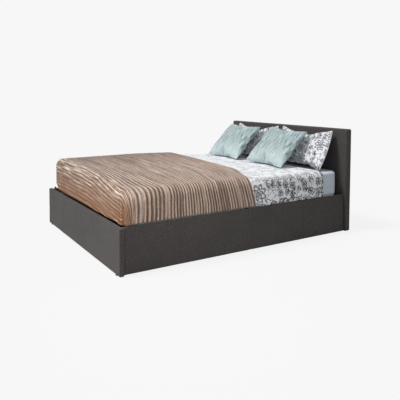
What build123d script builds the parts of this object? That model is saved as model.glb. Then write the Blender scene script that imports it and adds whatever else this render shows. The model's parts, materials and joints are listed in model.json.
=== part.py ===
from build123d import *
import os
from math import atan2, cos, hypot, pi, radians, sin

os.makedirs("parts", exist_ok=True)

# Side-lift ottoman storage bed, double size, millimetres.
# X runs across the bed (+X is the side that lifts), Y runs from the footboard to the
# headboard, Z is up from the floor. The origin is under the middle of the bed.

# Overall sizes
bed_width = 1440
bed_length = 2060
headboard_top = 830
rail_top = 302
board_bottom = 4
headboard_thickness = 56
footboard_thickness = 34
rail_thickness = 18
rail_setback = 22
cover_thickness = 2
headboard_round = 10
footboard_round = 6
rail_round = 4

# Upholstered boards
foam_thickness = 9
headboard_panel_thickness = 18
headboard_stile = 70
lining_margin = 45

# Small fits
seat_gap = 0.3
running_gap = 0.3
overrun = 5

# Screws
screw_radius = 3
screw_depth = 11
screw_head_radius = 6.5
screw_head_height = 3
screw_head_taper = 27
drill_clearance = 0.15
pin_clearance = 0.08

# Corner brackets
bracket_thickness = 3
bracket_flange = 42
bracket_bottom = 48
bracket_height = 42
bracket_screw_inset = 26
bracket_screw_spread = 20

# Storage floor
floor_batten = 25
floor_panel_thickness = 6
floor_panel_bottom = 39
floor_panel_count = 3
floor_panel_gap = 1
centre_beam_width = 50
centre_beam_bottom = 14

# Glides
glide_radius = 17
glide_neck_radius = 9
glide_pad = 2.5
glide_inset = 60
glide_count_centre = 3

# Ledge that carries the closed platform
ledge_width = 40
ledge_height = 33
buffer_height = 3
buffer_radius = 10
buffer_count = 5

# Lifting platform
tube_size = 30
tube_wall = 2
platform_bottom = 240
platform_side_gap = 8
end_lane = 34

# Lift hinge, one at each end of the bed
hinge_inset = 20
hinge_rise = 6
hinge_plate_thickness = 4
hinge_boss_radius = 14
hinge_pin_radius = 5
hinge_collar_radius = 8
hinge_collar = 1
hinge_head_radius = 9
hinge_head_height = 3
hinge_plate_waist_radius = 30
hinge_plate_waist_drop = 108
hinge_plate_waist_reach = 20
arm_thickness = 4
arm_reach = 64
spacer_reach = 46
hinge_screw_places_shares = ((0.12, 0.47), (0.85, 0.58), (0.2, 0.9))

# Gas struts, measured from the hinge axis
strut_foot_reach = 40
strut_foot_drop = 192
strut_head_reach = 185
strut_head_drop = 63
strut_lane = 20
strut_body_radius = 9
strut_body_start = 14
strut_body_length = 130
strut_rod_radius = 4
strut_rod_inside = 114
strut_eye_thickness = 10
strut_neck_radius = 4
strut_lower_eye_radius = 9
strut_upper_eye_radius = 12
strut_upper_slack = 2.8
stud_radius = 4
stud_flange_radius = 8
stud_flange = 2
stud_tip_radius = 6.5
stud_tip = 1.5
strut_seat_radius = 20

# Sprung slats
slat_rows = 14
slat_width = 53
slat_thickness = 8
slat_bow = 8
slat_end_inset = 10
slat_middle_inset = 6
holder_length = 34
holder_half_centre = 30
holder_margin = 4
holder_floor = 2
holder_roof = 2.2
holder_play = 1.6

# Mattress stops on the hinge side
stop_thickness = 3
stop_length = 260
stop_height = 72
stop_places_share = (-0.28, 0.28)
stop_round = 18

# Pull strap
strap_width = 40
strap_thickness = 4
strap_webbing = 1.5
strap_top_over_rail = 1
strap_hang = 46

# Mattress and bedding
mattress_foot_gap = 34
mattress_head_gap = 26
mattress_side_gap = 8
mattress_thickness = 199
mattress_corner = 80
mattress_edge = 22
sheet_thickness = 2
duvet_thickness = 22
duvet_side_thickness = 18
duvet_edge = 58
duvet_head_gap = 222
duvet_near_hem = 1.5
far_hem_rise = 44
hem_bend_reach = 32
quarter_turn = 90
drape_turns_shares = (1, 0.75, 0.5, 0.25)
least_edge = 6
near_corner_edge = 96
near_corner_reach = 200
crown_rise = 45
crown_lead_share = 0.9
crown_shares = ((0, 1), (0.38, 1), (0.555, 0.75), (0.68, 0.3), (0.74, 0), (1, 0))
throw_thickness = 7
throw_rib_pitch = 32
throw_rib_depth = 3
throw_reach = 1132
throw_near_hem = 12
throw_foot_hem = 3

# Pillows and cushions
pillow_width = 606
pillow_height = 366
pillow_thickness = 136
pillow_lean_angle = 26
pillow_gap = 6
pillow_pair_shift = 22
cushion_width = 450
cushion_height = 412
cushion_thickness = 118
cushion_lean_angle = 45
cushion_gap = 120
cushion_pair_shift = -55
cushion_head_gap = 136
pad_pull = 24
pad_layers_shares = (
    (-0.5, 0.3),
    (-0.44, 0.66),
    (-0.26, 0.9),
    (0, 1),
    (0.26, 0.9),
    (0.44, 0.66),
    (0.5, 0.3),
)

# Worked-out places
half_width = bed_width / 2
foot_face = -bed_length / 2 + footboard_thickness
head_face = bed_length / 2 - headboard_thickness
rail_outer = half_width - rail_setback
rail_inner = rail_outer - rail_thickness
middle_y = (foot_face + head_face) / 2
well_length = head_face - foot_face
side_edge = rail_inner - platform_side_gap
tube_top = platform_bottom + tube_size
slat_bottom = tube_top + holder_floor
bed_top = slat_bottom + slat_thickness + slat_bow + seat_gap
hinge_x = -(rail_inner - hinge_inset)
hinge_z = rail_top + hinge_rise
strut_foot = (hinge_x + strut_foot_reach, hinge_z - strut_foot_drop)
strut_head = (hinge_x + strut_head_reach, hinge_z - strut_head_drop)
strut_length = hypot(strut_head[0] - strut_foot[0], strut_head[1] - strut_foot[1])
strut_angle = atan2(strut_head[1] - strut_foot[1], strut_head[0] - strut_foot[0])
ends = (("head", head_face, -1), ("foot", foot_face, 1))


def save(piece, name):
    """Label a finished piece and write it under its own name."""
    piece.label = name
    export_step(piece, f"parts/{name}.step")


def block(low, high, mode=Mode.ADD):
    """A straight-sided board between two opposite corners."""
    middle = [(a + b) / 2 for a, b in zip(low, high)]
    size = [abs(b - a) for a, b in zip(low, high)]
    with Locations(tuple(middle)):
        Box(*size, mode=mode)


def upright(y):
    """A plane across the bed at this Y: its x is X and its y is Z."""
    return Plane(origin=(0, y, 0), x_dir=(1, 0, 0), z_dir=(0, -1, 0))


def rounded_board(low, high, inset, radius):
    """A board with all its edges rounded, drawn in by an even inset."""
    with BuildPart() as board:
        block([a + inset for a in low], [b - inset for b in high])
        fillet(board.edges(), radius=radius - inset)
    return board.part


# Screws: dome heads with a short shank, placed by the point under the head
def screw(spot, direction):
    """A dome-head screw whose shank goes along the direction."""
    seat = Plane(origin=spot, z_dir=direction)
    with BuildPart() as piece:
        with BuildSketch(seat):
            Circle(screw_radius)
        extrude(amount=screw_depth)
        with BuildSketch(seat):
            Circle(screw_head_radius)
        extrude(amount=-screw_head_height, taper=screw_head_taper)
    return piece.part


def drill(spots, direction):
    """Clearance holes for screws, cut in the part being built."""
    for spot in spots:
        with BuildSketch(Plane(origin=spot, z_dir=direction)) as hole:
            Circle(screw_radius + drill_clearance)
        extrude(hole.sketch, amount=screw_depth + overrun, mode=Mode.SUBTRACT)


def bracket_spots(side, face, inward):
    """Screw places of one corner bracket: two in the rail, two in the end board."""
    heights = [
        bracket_bottom + bracket_height / 2 + step * bracket_screw_spread / 2 for step in (-1, 1)
    ]
    rail_x = side * (rail_inner - bracket_thickness)
    board_x = side * (rail_inner - bracket_screw_inset)
    in_rail = [(rail_x, face + inward * bracket_screw_inset, z) for z in heights]
    in_board = [(board_x, face + inward * bracket_thickness, z) for z in heights]
    return in_rail, in_board


def hinge_screw_places():
    """The three holes of a hinge plate, between its boss and the seat of the strut."""
    return [
        (hinge_x + across * strut_foot_reach, hinge_z - down * strut_foot_drop)
        for across, down in hinge_screw_places_shares
    ]


def hinge_spots(face, inward):
    """Screw places of one hinge plate."""
    y = face + inward * hinge_plate_thickness
    return [(x, y, z) for x, z in hinge_screw_places()]


def board_spots(face, inward):
    """Every screw that goes into one end board."""
    spots = hinge_spots(face, inward)
    for side in (1, -1):
        spots = spots + bracket_spots(side, face, inward)[1]
    return spots


# Headboard: timber frame, panel, foam, fabric cover and back lining
head_low = (-half_width, head_face, board_bottom)
head_high = (half_width, bed_length / 2, headboard_top)
head_core = rounded_board(head_low, head_high, cover_thickness, headboard_round)
foam_back = head_face + cover_thickness + foam_thickness
panel_back = foam_back + headboard_panel_thickness

with BuildPart() as headboard_foam:
    add(head_core)
    block(head_low, (half_width, foam_back, headboard_top), mode=Mode.INTERSECT)
    drill(board_spots(head_face, -1), (0, 1, 0))
save(headboard_foam.part, "headboard_foam")

with BuildPart() as headboard_panel:
    add(head_core)
    block(
        (-half_width, foam_back, board_bottom),
        (half_width, panel_back, headboard_top),
        mode=Mode.INTERSECT,
    )
    drill(board_spots(head_face, -1), (0, 1, 0))
save(headboard_panel.part, "headboard_panel")

with BuildPart() as headboard_frame:
    add(head_core)
    block((-half_width, panel_back, board_bottom), head_high, mode=Mode.INTERSECT)
    bay = (bed_width - 3 * headboard_stile) / 2
    bay_height = headboard_top - board_bottom - 2 * headboard_stile
    with BuildSketch(upright(bed_length / 2)):
        with Locations((0, (headboard_top + board_bottom) / 2)):
            with GridLocations(bay + headboard_stile, 0, 2, 1):
                Rectangle(bay, bay_height)
    extrude(amount=headboard_thickness, mode=Mode.SUBTRACT)
save(headboard_frame.part, "headboard_frame")

lining_low = (-half_width + lining_margin, bed_length / 2 - cover_thickness, board_bottom + lining_margin)
lining_high = (half_width - lining_margin, bed_length / 2, headboard_top - lining_margin)
with BuildPart() as headboard_cover:
    add(rounded_board(head_low, head_high, 0, headboard_round))
    add(head_core, mode=Mode.SUBTRACT)
    block(lining_low, lining_high, mode=Mode.SUBTRACT)
    drill(board_spots(head_face, -1), (0, 1, 0))
save(headboard_cover.part, "headboard_cover")

with BuildPart() as headboard_lining:
    block(lining_low, lining_high)
save(headboard_lining.part, "headboard_lining")

# Footboard: one thick board in a fabric cover
foot_low = (-half_width, -bed_length / 2, board_bottom)
foot_high = (half_width, foot_face, rail_top)
foot_core = rounded_board(foot_low, foot_high, cover_thickness, footboard_round)

with BuildPart() as footboard_panel:
    add(foot_core)
    drill(board_spots(foot_face, 1), (0, -1, 0))
save(footboard_panel.part, "footboard_panel")

with BuildPart() as footboard_cover:
    add(rounded_board(foot_low, foot_high, 0, footboard_round))
    add(foot_core, mode=Mode.SUBTRACT)
    drill(board_spots(foot_face, 1), (0, -1, 0))
save(footboard_cover.part, "footboard_cover")

# Side rails: a board in a fabric sleeve, running between the two end boards
rail_height = rail_top - board_bottom
for side_name, side in (("near", 1), ("far", -1)):
    rail_middle = (side * (rail_outer + rail_inner) / 2, board_bottom + rail_height / 2)
    rail_screws = bracket_spots(side, head_face, -1)[0] + bracket_spots(side, foot_face, 1)[0]

    with BuildPart() as rail_cover:
        with BuildSketch(upright(head_face)):
            with Locations(rail_middle):
                RectangleRounded(rail_thickness, rail_height, rail_round)
                RectangleRounded(
                    rail_thickness - 2 * cover_thickness,
                    rail_height - 2 * cover_thickness,
                    rail_round - cover_thickness,
                    mode=Mode.SUBTRACT,
                )
        extrude(amount=head_face - foot_face)
        drill(rail_screws, (side, 0, 0))
    save(rail_cover.part, f"{side_name}_rail_cover")

    with BuildPart() as rail_board:
        with BuildSketch(upright(head_face)):
            with Locations(rail_middle):
                RectangleRounded(
                    rail_thickness - 2 * cover_thickness,
                    rail_height - 2 * cover_thickness,
                    rail_round - cover_thickness,
                )
        extrude(amount=head_face - foot_face)
        drill(rail_screws, (side, 0, 0))
    save(rail_board.part, f"{side_name}_rail_board")

# Corner brackets and every screw of the base
screws = []
for side_name, side in (("near", 1), ("far", -1)):
    for end_name, face, inward in ends:
        in_rail, in_board = bracket_spots(side, face, inward)
        x = side * rail_inner
        with BuildPart() as corner_bracket:
            with BuildSketch(Plane.XY.offset(bracket_bottom)):
                with BuildLine():
                    Polyline(
                        (x, face),
                        (x - side * bracket_flange, face),
                        (x - side * bracket_flange, face + inward * bracket_thickness),
                        (x - side * bracket_thickness, face + inward * bracket_thickness),
                        (x - side * bracket_thickness, face + inward * bracket_flange),
                        (x, face + inward * bracket_flange),
                        close=True,
                    )
                make_face()
            extrude(amount=bracket_height)
            for spots, along in ((in_rail, (side, 0, 0)), (in_board, (0, -inward, 0))):
                for spot in spots:
                    with BuildSketch(Plane(origin=spot, z_dir=along)):
                        Circle(screw_radius + drill_clearance)
                    extrude(amount=bracket_thickness, mode=Mode.SUBTRACT)
        save(corner_bracket.part, f"corner_bracket_{end_name}_{side_name}")
        screws += [screw(spot, (side, 0, 0)) for spot in in_rail]
        screws += [screw(spot, (0, -inward, 0)) for spot in in_board]

for end_name, face, inward in ends:
    screws += [screw(spot, (0, -inward, 0)) for spot in hinge_spots(face, inward)]

with BuildPart() as frame_screws:
    add(screws)
save(frame_screws.part, "frame_screws")

# Storage floor: battens, centre beam, three panels
with BuildPart() as floor_battens:
    with Locations((0, middle_y, floor_panel_bottom - floor_batten / 2)):
        with GridLocations(2 * rail_inner - floor_batten, 0, 2, 1):
            Box(floor_batten, well_length, floor_batten)
save(floor_battens.part, "floor_battens")

with BuildPart() as centre_floor_beam:
    block(
        (-centre_beam_width / 2, foot_face, centre_beam_bottom),
        (centre_beam_width / 2, head_face, floor_panel_bottom),
    )
save(centre_floor_beam.part, "centre_floor_beam")

panel_pitch = well_length / floor_panel_count
for number, panel_name in enumerate(("foot", "middle", "head")):
    panel_start = foot_face + number * panel_pitch
    with BuildPart() as floor_panel:
        block(
            (-rail_inner, panel_start + floor_panel_gap / 2, floor_panel_bottom),
            (
                rail_inner,
                panel_start + panel_pitch - floor_panel_gap / 2,
                floor_panel_bottom + floor_panel_thickness,
            ),
        )
    save(floor_panel.part, f"floor_panel_{panel_name}")


# Glides under the end boards and the centre beam
def glide(x, y, seat):
    """A round foot pad on a short neck, up to the face that it carries."""
    with BuildSketch(Plane.XY) as pad:
        with Locations((x, y)):
            Circle(glide_radius)
    extrude(pad.sketch, amount=glide_pad)
    with BuildSketch(Plane.XY.offset(glide_pad)) as neck:
        with Locations((x, y)):
            Circle(glide_neck_radius)
    extrude(neck.sketch, amount=seat - glide_pad)


with BuildPart() as floor_glides:
    for side in (1, -1):
        glide(side * (half_width - glide_inset), -bed_length / 2 + footboard_thickness / 2, board_bottom)
        glide(side * (half_width - glide_inset), bed_length / 2 - headboard_thickness / 2, board_bottom)
    for step in range(glide_count_centre):
        y = foot_face + (step + 1 / 2) * well_length / glide_count_centre
        glide(0, y, centre_beam_bottom)
save(floor_glides.part, "floor_glides")

# Ledge with rubber buffers, on which the closed platform rests
ledge_top = platform_bottom - buffer_height
with BuildPart() as support_ledge:
    block(
        (rail_inner - ledge_width, foot_face, ledge_top - ledge_height),
        (rail_inner, head_face, ledge_top),
    )
save(support_ledge.part, "support_ledge")

with BuildPart() as rest_buffers:
    with BuildSketch(Plane.XY.offset(ledge_top)):
        with Locations((side_edge - tube_size / 2, middle_y)):
            with GridLocations(0, well_length / buffer_count, 1, buffer_count):
                Circle(buffer_radius)
    extrude(amount=buffer_height)
save(rest_buffers.part, "rest_buffers")


# Lift hinges: a fixed plate and pin on the base, an arm on the platform
def lane_disc(face, inward, start, thickness, radius, centre):
    """A disc in the hinge lane, a distance in from the end board."""
    with BuildSketch(upright(face + inward * start)) as disc:
        with Locations(centre):
            Circle(radius)
    extrude(disc.sketch, amount=thickness, dir=(0, inward, 0))


pin_hole = hinge_pin_radius + pin_clearance
hinge_centre = (hinge_x, hinge_z)
arm_start = hinge_plate_thickness + hinge_collar + running_gap
for end_name, face, inward in ends:
    with BuildPart() as hinge_plate:
        with BuildSketch(upright(face)):
            with Locations(hinge_centre):
                Circle(hinge_boss_radius)
            with Locations((hinge_x + hinge_plate_waist_reach, hinge_z - hinge_plate_waist_drop)):
                Circle(hinge_plate_waist_radius)
            with Locations(strut_foot):
                Circle(strut_seat_radius)
            make_hull()
            with Locations(hinge_centre):
                Circle(pin_hole, mode=Mode.SUBTRACT)
            with Locations(*hinge_screw_places()):
                Circle(screw_radius + drill_clearance, mode=Mode.SUBTRACT)
        extrude(amount=hinge_plate_thickness, dir=(0, inward, 0))
    save(hinge_plate.part, f"hinge_plate_{end_name}")

    with BuildPart() as swing_arm:
        with BuildSketch(upright(face + inward * arm_start)):
            with Locations(hinge_centre):
                Circle(hinge_boss_radius)
            with Locations((-side_edge + arm_reach / 2, platform_bottom + tube_size / 2)):
                Rectangle(arm_reach, tube_size)
            make_hull()
            with Locations(hinge_centre):
                Circle(pin_hole, mode=Mode.SUBTRACT)
        extrude(amount=arm_thickness, dir=(0, inward, 0))
        block(
            (-side_edge, face + inward * (arm_start + arm_thickness), platform_bottom),
            (-side_edge + spacer_reach, face + inward * end_lane, tube_top),
        )
    save(swing_arm.part, f"swing_arm_{end_name}")

with BuildPart() as hinge_pins:
    for end_name, face, inward in ends:
        head_start = arm_start + arm_thickness + running_gap
        lane_disc(face, inward, 0, head_start, hinge_pin_radius, hinge_centre)
        lane_disc(face, inward, hinge_plate_thickness, hinge_collar, hinge_collar_radius, hinge_centre)
        lane_disc(face, inward, head_start, hinge_head_height, hinge_head_radius, hinge_centre)
save(hinge_pins.part, "hinge_pins")

# Studs that carry the gas struts
stud_end = strut_lane + strut_eye_thickness / 2 + running_gap
with BuildPart() as strut_lower_studs:
    for end_name, face, inward in ends:
        start = hinge_plate_thickness
        lane_disc(face, inward, start, stud_flange, stud_flange_radius, strut_foot)
        lane_disc(face, inward, start, stud_end - start, stud_radius, strut_foot)
        lane_disc(face, inward, stud_end, stud_tip, stud_tip_radius, strut_foot)
save(strut_lower_studs.part, "strut_lower_studs")

with BuildPart() as strut_upper_studs:
    for end_name, face, inward in ends:
        inner_end = strut_lane - strut_eye_thickness / 2 - running_gap
        lane_disc(face, inward, end_lane - stud_flange, stud_flange, stud_flange_radius, strut_head)
        lane_disc(face, inward, inner_end, end_lane - inner_end, stud_radius, strut_head)
        lane_disc(face, inward, inner_end - stud_tip, stud_tip, stud_flange_radius, strut_head)
save(strut_upper_studs.part, "strut_upper_studs")

# Gas struts: cylinder pinned below, rod with its eye round the upper stud
strut_way = (cos(strut_angle), 0, sin(strut_angle))
for end_name, face, inward in ends:
    lane_y = face + inward * strut_lane
    foot_point = (strut_foot[0], lane_y, strut_foot[1])
    along = Plane(origin=foot_point, x_dir=(0, 1, 0), z_dir=strut_way)
    with BuildPart() as strut_cylinder:
        with BuildSketch(upright(lane_y)):
            with Locations(strut_foot):
                Circle(strut_lower_eye_radius)
        extrude(amount=strut_eye_thickness / 2, both=True)
        with BuildSketch(along):
            Circle(strut_neck_radius)
        extrude(amount=strut_body_start)
        with BuildSketch(along.offset(strut_body_start)):
            Circle(strut_body_radius)
        extrude(amount=strut_body_length)
        with BuildSketch(upright(lane_y)):
            with Locations(strut_foot):
                Circle(stud_radius + running_gap)
        extrude(amount=strut_body_radius, both=True, mode=Mode.SUBTRACT)
        with BuildSketch(along.offset(strut_body_start + strut_body_length)):
            Circle(strut_rod_radius + running_gap)
        extrude(amount=-(strut_rod_inside + overrun), mode=Mode.SUBTRACT)
    save(strut_cylinder.part, f"strut_cylinder_{end_name}")

    with BuildPart() as strut_rod:
        rod_start = strut_body_start + strut_body_length - strut_rod_inside
        with BuildSketch(along.offset(rod_start)):
            Circle(strut_rod_radius)
        extrude(amount=strut_length - rod_start - stud_radius - strut_upper_slack)
        with BuildSketch(upright(lane_y)):
            with Locations(strut_head):
                Circle(strut_upper_eye_radius)
        extrude(amount=strut_eye_thickness / 2, both=True)
        with BuildSketch(upright(lane_y)):
            with Locations(strut_head):
                Circle(stud_radius + strut_upper_slack)
        extrude(amount=strut_eye_thickness, both=True, mode=Mode.SUBTRACT)
    save(strut_rod.part, f"strut_rod_{end_name}")

# Platform frame: square steel tube, welded end to end
platform_foot = foot_face + end_lane
platform_head = head_face - end_lane
tube_middle_z = platform_bottom + tube_size / 2


def tube_outline(centre):
    """A square hollow section, drawn on the sketch being built."""
    with Locations(centre):
        Rectangle(tube_size, tube_size)
        Rectangle(tube_size - 2 * tube_wall, tube_size - 2 * tube_wall, mode=Mode.SUBTRACT)


for tube_name, x, start, finish in (
    ("near", side_edge - tube_size / 2, platform_foot, platform_head),
    ("far", -side_edge + tube_size / 2, platform_foot, platform_head),
    ("centre", 0, platform_foot + tube_size, platform_head - tube_size),
):
    with BuildPart() as long_tube:
        with BuildSketch(upright(finish)):
            tube_outline((x, tube_middle_z))
        extrude(amount=finish - start)
    save(long_tube.part, f"platform_{tube_name}_tube")

for tube_name, y in (
    ("head", platform_head - tube_size / 2),
    ("foot", platform_foot + tube_size / 2),
):
    with BuildPart() as cross_tube:
        with BuildSketch(Plane.YZ.offset(tube_size - side_edge)):
            tube_outline((y, tube_middle_z))
        extrude(amount=2 * (side_edge - tube_size))
    save(cross_tube.part, f"platform_{tube_name}_tube")

# Sprung slats: bowed strips in two banks, held in moulded cups
row_pitch = (platform_head - platform_foot - 2 * tube_size) / slat_rows
row_places = [platform_foot + tube_size + (row + 1 / 2) * row_pitch for row in range(slat_rows)]
slat_outer = side_edge - slat_end_inset
slat_inner = slat_middle_inset
slat_middle = (slat_outer + slat_inner) / 2


def bowed_slat(side, y):
    """One slat, arched along its length, from the centre tube to a side tube."""
    with BuildSketch(upright(y + slat_width / 2)) as side_view:
        with BuildLine():
            near_low = (side * slat_inner, slat_bottom)
            far_low = (side * slat_outer, slat_bottom)
            near_high = (side * slat_inner, slat_bottom + slat_thickness)
            far_high = (side * slat_outer, slat_bottom + slat_thickness)
            ThreePointArc(near_low, (side * slat_middle, slat_bottom + slat_bow), far_low)
            Line(far_low, far_high)
            ThreePointArc(
                far_high,
                (side * slat_middle, slat_bottom + slat_thickness + slat_bow),
                near_high,
            )
            Line(near_high, near_low)
        make_face()
    extrude(side_view.sketch, amount=slat_width)


for side_name, side in (("near", 1), ("far", -1)):
    with BuildPart() as slats:
        for y in row_places:
            bowed_slat(side, y)
    save(slats.part, f"{side_name}_slats")

holder_width = slat_width + 2 * holder_margin
holder_top = slat_bottom + slat_thickness + holder_play + holder_roof
pocket_low = slat_bottom
pocket_high = slat_bottom + slat_thickness + holder_play


def cup(x_low, x_high, y, pocket_x_low, pocket_x_high):
    """A moulded cup with a pocket for the end of a slat."""
    half = holder_width / 2
    block((x_low, y - half, tube_top), (x_high, y + half, holder_top))
    half_pocket = slat_width / 2 + running_gap
    block(
        (pocket_x_low, y - half_pocket, pocket_low),
        (pocket_x_high, y + half_pocket, pocket_high),
        mode=Mode.SUBTRACT,
    )


for side_name, side in (("near", 1), ("far", -1)):
    with BuildPart() as slat_holders:
        cup_outer = side_edge - holder_margin
        cup_inner = cup_outer - holder_length
        pocket_outer = slat_outer + running_gap
        edges = sorted((side * cup_outer, side * cup_inner))
        pocket = sorted((side * pocket_outer, side * (cup_inner - overrun)))
        for y in row_places:
            cup(edges[0], edges[1], y, pocket[0], pocket[1])
    save(slat_holders.part, f"{side_name}_slat_holders")

with BuildPart() as centre_slat_holders:
    for y in row_places:
        pocket_inner = slat_inner - running_gap
        cup(-holder_half_centre, holder_half_centre, y, pocket_inner, holder_half_centre + overrun)
        half_pocket = slat_width / 2 + running_gap
        block(
            (-holder_half_centre - overrun, y - half_pocket, pocket_low),
            (-pocket_inner, y + half_pocket, pocket_high),
            mode=Mode.SUBTRACT,
        )
save(centre_slat_holders.part, "centre_slat_holders")

# Plates on the hinge side that keep the mattress from sliding when it is raised
with BuildPart() as mattress_stops:
    with BuildSketch(Plane.YZ.offset(-side_edge - stop_thickness)):
        for share in stop_places_share:
            with Locations((middle_y + share * well_length, platform_bottom + stop_height / 2)):
                RectangleRounded(stop_length, stop_height, stop_round)
    extrude(amount=stop_thickness)
save(mattress_stops.part, "mattress_stops")

# Pull strap: a flat loop of webbing on the outside of the near tube
strap_middle = (side_edge + strap_thickness / 2, rail_top + strap_top_over_rail - strap_hang / 2)
with BuildPart() as lift_strap:
    with BuildSketch(upright(middle_y)):
        with Locations(strap_middle):
            SlotOverall(strap_hang, strap_thickness, rotation=90)
            SlotOverall(
                strap_hang - 2 * strap_webbing,
                strap_thickness - 2 * strap_webbing,
                rotation=90,
                mode=Mode.SUBTRACT,
            )
    extrude(amount=strap_width / 2, both=True)
save(lift_strap.part, "lift_strap")

# Mattress with rounded corners and edges
mattress_half = rail_inner - mattress_side_gap - sheet_thickness - seat_gap
mattress_foot = foot_face + mattress_foot_gap
mattress_head = head_face - mattress_head_gap
mattress_length = mattress_head - mattress_foot
mattress_top = bed_top + mattress_thickness


def soft_slab(inset_out, bottom, top):
    """The mattress outline, grown sideways, between two heights."""
    grown_width = 2 * (mattress_half + inset_out)
    grown_length = mattress_length + 2 * inset_out
    with BuildPart() as slab:
        with BuildSketch(Plane.XY.offset(bottom)):
            with Locations((0, (mattress_foot + mattress_head) / 2)):
                RectangleRounded(grown_width, grown_length, mattress_corner + inset_out)
        extrude(amount=top - bottom)
        rim = slab.faces().sort_by(Axis.Z)[-1].edges()
        fillet(rim, radius=mattress_edge + inset_out)
    return slab.part


with BuildPart() as mattress:
    add(soft_slab(0, bed_top, mattress_top))
    fillet(mattress.faces().sort_by(Axis.Z)[0].edges(), radius=mattress_edge)
save(mattress.part, "mattress")

sheet_out = seat_gap + sheet_thickness
sheet_top = mattress_top + sheet_out
with BuildPart() as fitted_sheet:
    add(soft_slab(sheet_out, bed_top + mattress_edge, sheet_top))
    add(
        soft_slab(seat_gap, bed_top + mattress_edge - overrun, mattress_top + seat_gap),
        mode=Mode.SUBTRACT,
    )
save(fitted_sheet.part, "fitted_sheet")


# Bedding that drapes over the mattress
duvet_half = mattress_half + sheet_out + seat_gap + duvet_side_thickness
duvet_foot = mattress_foot - sheet_out - seat_gap - duvet_side_thickness
duvet_head = head_face - duvet_head_gap
duvet_top = sheet_top + seat_gap + duvet_thickness
hem_bend = duvet_half - duvet_edge - hem_bend_reach
far_hem = rail_top + far_hem_rise
below_hem = rail_top - overrun


def crown(y):
    """How far the far side of the bedding rises over the near side at this Y."""
    share = (y - foot_face) / well_length
    for (start, high), (finish, low) in zip(crown_shares, crown_shares[1:]):
        if start <= share <= finish:
            return crown_rise * (high + (low - high) * (share - start) / (finish - start))
    return 0


def draped_section(turn, y, grown, near_hem, far_side_hem):
    """A filled arch across the bed, grown outwards; a turn above zero puts it on the foot edge."""
    bend = duvet_edge + grown
    drawn_in = bend * (1 - cos(radians(turn)))
    if turn > 0:
        y = duvet_foot - grown + bend * (1 - sin(radians(turn)))
    behind_corner = max(0, y - duvet_foot - duvet_edge) / near_corner_reach
    corner_growth = (near_corner_edge - duvet_edge) * max(0, 1 - behind_corner)
    near_edge = bend + corner_growth - drawn_in
    far_edge = max(bend - drawn_in, least_edge)
    half = duvet_half + grown - drawn_in
    near_top = duvet_top + grown - drawn_in
    far_top = near_top + crown(y)
    with BuildSketch(upright(y)) as section:
        with BuildLine():
            Line((half, near_hem), (half, near_top - near_edge))
            RadiusArc((half, near_top - near_edge), (half - near_edge, near_top), -near_edge)
            Bezier(
                (half - near_edge, near_top),
                (0, near_top + crown_lead_share * crown(y)),
                (far_edge - half, far_top),
            )
            RadiusArc((far_edge - half, far_top), (-half, far_top - far_edge), -far_edge)
            Line((-half, far_top - far_edge), (-half, far_side_hem))
            Line((-half, far_side_hem), (-hem_bend, near_hem))
            Line((-hem_bend, near_hem), (half, near_hem))
        make_face()
    return section.sketch


def draped_sections(head_end, grown, near_hem, far_side_hem):
    """The arches from the foot edge to the head end: where the edge turns and the crown changes."""
    turns = [quarter_turn * share for share in drape_turns_shares]
    sections = [draped_section(turn, duvet_foot, grown, near_hem, far_side_hem) for turn in turns]
    flat_start = duvet_foot + duvet_edge
    places = [flat_start, flat_start + near_corner_reach]
    places += [foot_face + share * well_length for share, _ in crown_shares]
    places = [y for y in sorted(places) if flat_start <= y < head_end] + [head_end]
    return sections + [draped_section(0, y, grown, near_hem, far_side_hem) for y in places]


with BuildPart() as duvet:
    loft(sections=draped_sections(duvet_head, 0, rail_top + duvet_near_hem, far_hem), ruled=True)
    add(soft_slab(sheet_out + seat_gap, below_hem, sheet_top + seat_gap), mode=Mode.SUBTRACT)
save(duvet.part, "duvet")

# Throw: pleats across the foot half of the bed and over the foot edge
throw_grown = seat_gap + throw_thickness
throw_head = foot_face + throw_reach
foot_turn_length = (duvet_edge + throw_grown) * pi / 2
throw_length = foot_turn_length + throw_head - duvet_foot - duvet_edge
rib_count = round(throw_length / throw_rib_pitch)


def throw_section(step):
    """One crest or valley of the pleats, counted from the foot face towards the head."""
    along = step * throw_length / (2 * rib_count)
    turn = quarter_turn * max(0, 1 - along / foot_turn_length)
    y = duvet_foot + duvet_edge + along - foot_turn_length
    hem = rail_top + (throw_foot_hem if turn > 0 else throw_near_hem)
    return draped_section(turn, y, throw_grown + (step % 2) * throw_rib_depth, hem, far_hem)


with BuildPart() as throw:
    loft(sections=[throw_section(step) for step in range(2 * rib_count + 1)], ruled=True)
    throw_inner = draped_sections(throw_head, seat_gap, below_hem, below_hem)
    loft(sections=throw_inner, ruled=True, mode=Mode.SUBTRACT)
save(throw.part, "throw")


# Pillows and cushions: crowned pads with drawn-in sides, leaning towards the headboard
def soft_pad(width, height, thickness, lean):
    """A pad through stacked outlines, standing at the origin and leaning back."""
    tilt = radians(lean)
    base = Plane(origin=(0, 0, 0), x_dir=(1, 0, 0), z_dir=(0, -cos(tilt), sin(tilt)))
    with BuildPart() as pad:
        for depth_share, size_share in pad_layers_shares:
            x = width / 2 * size_share
            y = height / 2 * size_share
            pull = pad_pull * (size_share * 2 - 1)
            with BuildSketch(base.offset(depth_share * thickness)):
                with BuildLine():
                    ThreePointArc((-x, -y), (0, pull - y), (x, -y))
                    ThreePointArc((x, -y), (x - pull, 0), (x, y))
                    ThreePointArc((x, y), (0, y - pull), (-x, y))
                    ThreePointArc((-x, y), (pull - x, 0), (-x, -y))
                make_face()
        loft()
    return pad.part


def seated(pad, centre_x, back_y, seat_z):
    """The pad moved to its place: centre in X, back in Y, lowest point in Z."""
    limits = pad.bounding_box()
    return Pos(centre_x, back_y - limits.max.Y, seat_z - limits.min.Z) * pad


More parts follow.
